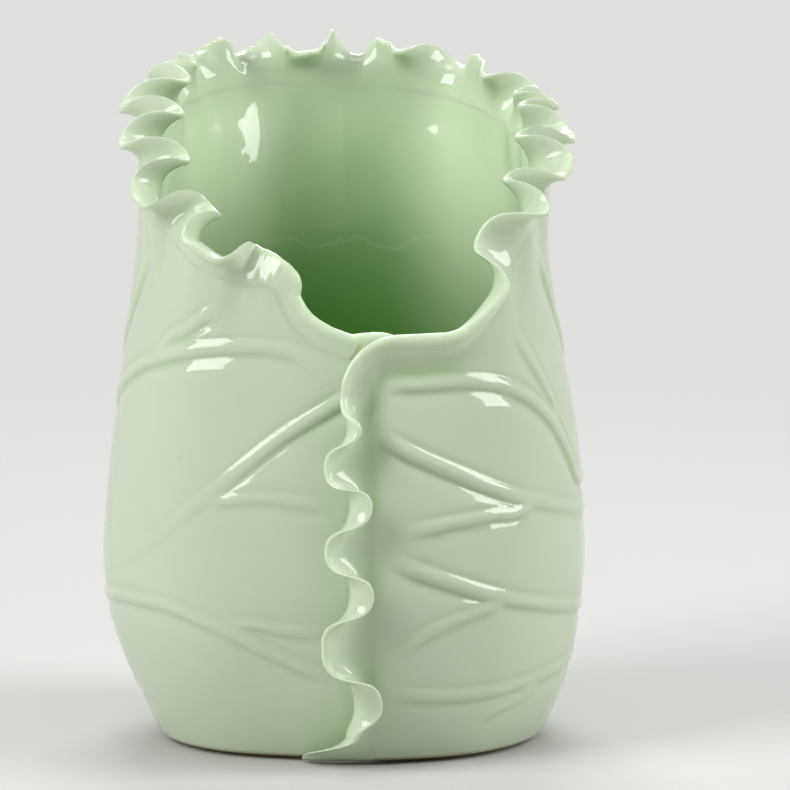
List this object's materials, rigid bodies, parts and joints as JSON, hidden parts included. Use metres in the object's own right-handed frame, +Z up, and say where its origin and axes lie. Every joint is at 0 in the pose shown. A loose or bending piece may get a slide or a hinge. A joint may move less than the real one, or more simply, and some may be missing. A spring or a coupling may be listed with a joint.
{
  "type": "brush holder pot",
  "caption": "Porcelain brush pot formed as a rolled lotus leaf, with a fluted open rim and front lap, raised branching veins and a flat unglazed foot; stands on a desk and holds brushes.",
  "frame": {"origin": "middle of the foot's resting face, on the base disc's underside", "axes": "+Z up towards the mouth, -Y towards the front lap, +X to the right as seen from the front"},
  "size_m": [0.0988, 0.0993, 0.1404],
  "materials": {
    "leaf_glaze": "gloss celadon glaze over white porcelain",
    "vein_glaze": "gloss celadon glaze over raised coils",
    "bare_clay": "unglazed fired porcelain, wiped smooth"
  },
  "bodies": {
    "root": {"base_disc": "bare_clay", "leaf_wall": "leaf_glaze", "rim_frill": "leaf_glaze", "seam_frill": "leaf_glaze", "vein_right_rim": "vein_glaze", "fork_right_rim": "vein_glaze", "vein_right_lip": "vein_glaze", "fork_right_lip": "vein_glaze", "vein_right_shoulder": "vein_glaze", "fork_right_shoulder": "vein_glaze", "vein_right_belly": "vein_glaze", "fork_right_belly": "vein_glaze", "vein_right_foot": "vein_glaze", "fork_right_foot": "vein_glaze", "vein_left_rim": "vein_glaze", "fork_left_rim": "vein_glaze", "vein_left_lip": "vein_glaze", "fork_left_lip": "vein_glaze", "vein_left_shoulder": "vein_glaze", "fork_left_shoulder": "vein_glaze", "vein_left_belly": "vein_glaze", "fork_left_belly": "vein_glaze", "vein_left_foot": "vein_glaze", "vein_back_right": "vein_glaze", "fork_back_right": "vein_glaze", "vein_back_left": "vein_glaze", "fork_back_left": "vein_glaze", "vein_back_foot": "vein_glaze", "fork_back_foot": "vein_glaze"}
  },
  "joints": []
}
